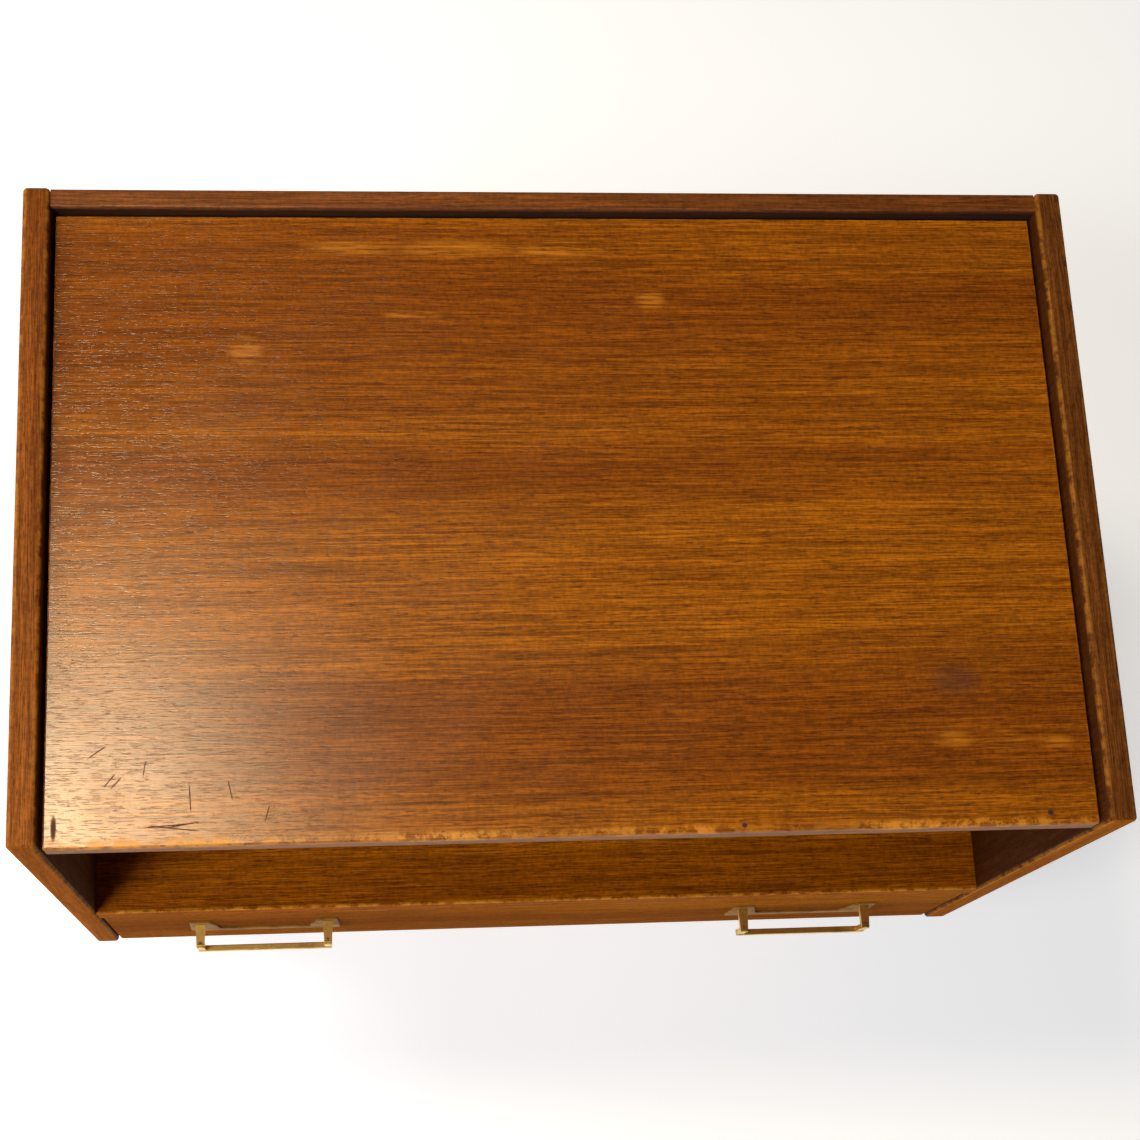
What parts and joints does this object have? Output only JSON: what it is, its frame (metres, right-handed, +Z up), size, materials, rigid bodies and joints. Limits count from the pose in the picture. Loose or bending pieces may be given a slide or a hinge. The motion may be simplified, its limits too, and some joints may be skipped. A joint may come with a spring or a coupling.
{
  "type": "sewing table",
  "caption": "Small teak sewing table: raised-edge top, open shelf over one wide drawer with two brass drop pulls, on splayed round legs.",
  "frame": {"origin": "on the floor, under the centre of the whole table's box", "axes": "+X to the right seen from the front, -Y out of the drawer's front, +Z up"},
  "size_m": [0.6, 0.393, 0.575],
  "materials": {
    "teak_sides": "worn satin lacquer on teak veneer",
    "teak_top": "worn glossy lacquer on teak veneer",
    "teak_rail": "satin lacquer on teak",
    "teak_shelf": "satin lacquer on teak veneer",
    "teak_drawer_front": "satin lacquer on teak veneer",
    "teak_leg": "satin lacquer on turned teak",
    "plain_wood": "unfinished board",
    "back_plywood": "plywood",
    "hardwood_fitting": "waxed hardwood",
    "drawer_beech": "clear lacquer on beech",
    "drawer_plywood": "clear lacquer on plywood",
    "divider_beech": "clear lacquer on beech",
    "dowel_beech": "plain beech",
    "screw_steel": "zinc plated",
    "bolt_steel": "zinc plated",
    "plate_steel": "pressed steel",
    "nut_steel": "zinc plated",
    "glide_plastic": "moulded plastic",
    "pull_brass": "aged polished brass",
    "pin_brass": "aged brass"
  },
  "bodies": {
    "case": {"back_panel": "back_plywood", "back_panel_screws": "screw_steel", "back_rail": "teak_rail", "bottom_board": "plain_wood", "case_dowels": "dowel_beech", "drawer_runner_left": "hardwood_fitting", "drawer_runner_right": "hardwood_fitting", "drawer_runner_screws": "screw_steel", "glide_back_left": "glide_plastic", "glide_back_right": "glide_plastic", "glide_front_left": "glide_plastic", "glide_front_right": "glide_plastic", "leg_back_left": "teak_leg", "leg_back_right": "teak_leg", "leg_bolts": "bolt_steel", "leg_front_left": "teak_leg", "leg_front_right": "teak_leg", "leg_plate_back_left": "plate_steel", "leg_plate_back_right": "plate_steel", "leg_plate_front_left": "plate_steel", "leg_plate_front_right": "plate_steel", "leg_plate_screws": "screw_steel", "shelf_board": "teak_shelf", "side_panel_left": "teak_sides", "side_panel_right": "teak_sides", "top_board": "teak_top", "top_cleat_left": "hardwood_fitting", "top_cleat_right": "hardwood_fitting", "top_cleat_screws": "screw_steel"},
    "drawer": {"drawer_back": "drawer_beech", "drawer_bottom": "drawer_plywood", "drawer_front": "teak_drawer_front", "drawer_long_divider": "divider_beech", "drawer_short_divider_left": "divider_beech", "drawer_short_divider_right": "divider_beech", "drawer_side_left": "drawer_beech", "drawer_side_right": "drawer_beech", "spool_rail": "divider_beech", "spool_pins": "divider_beech", "pull_backplate_left": "pull_brass", "pull_posts_left": "pull_brass", "pull_pins_left": "pin_brass", "pull_nuts_left": "nut_steel", "pull_backplate_right": "pull_brass", "pull_posts_right": "pull_brass", "pull_pins_right": "pin_brass", "pull_nuts_right": "nut_steel"},
    "bail_left": {"pull_bail_left": "pull_brass"},
    "bail_right": {"pull_bail_right": "pull_brass"}
  },
  "joints": [
    {"name": "drawer_slide", "type": "slide", "parent": "case", "child": "drawer", "axis": [0, -1, 0], "range_m": [0, 0.28]},
    {"name": "bail_left_swing", "type": "hinge", "parent": "drawer", "child": "bail_left", "pos_m": [-0.1825, -0.19435, 0.29], "axis": [-1, 0, 0], "range_deg": [-20, 150]},
    {"name": "bail_right_swing", "type": "hinge", "parent": "drawer", "child": "bail_right", "pos_m": [0.1825, -0.19435, 0.29], "axis": [-1, 0, 0], "range_deg": [-20, 150]}
  ]
}
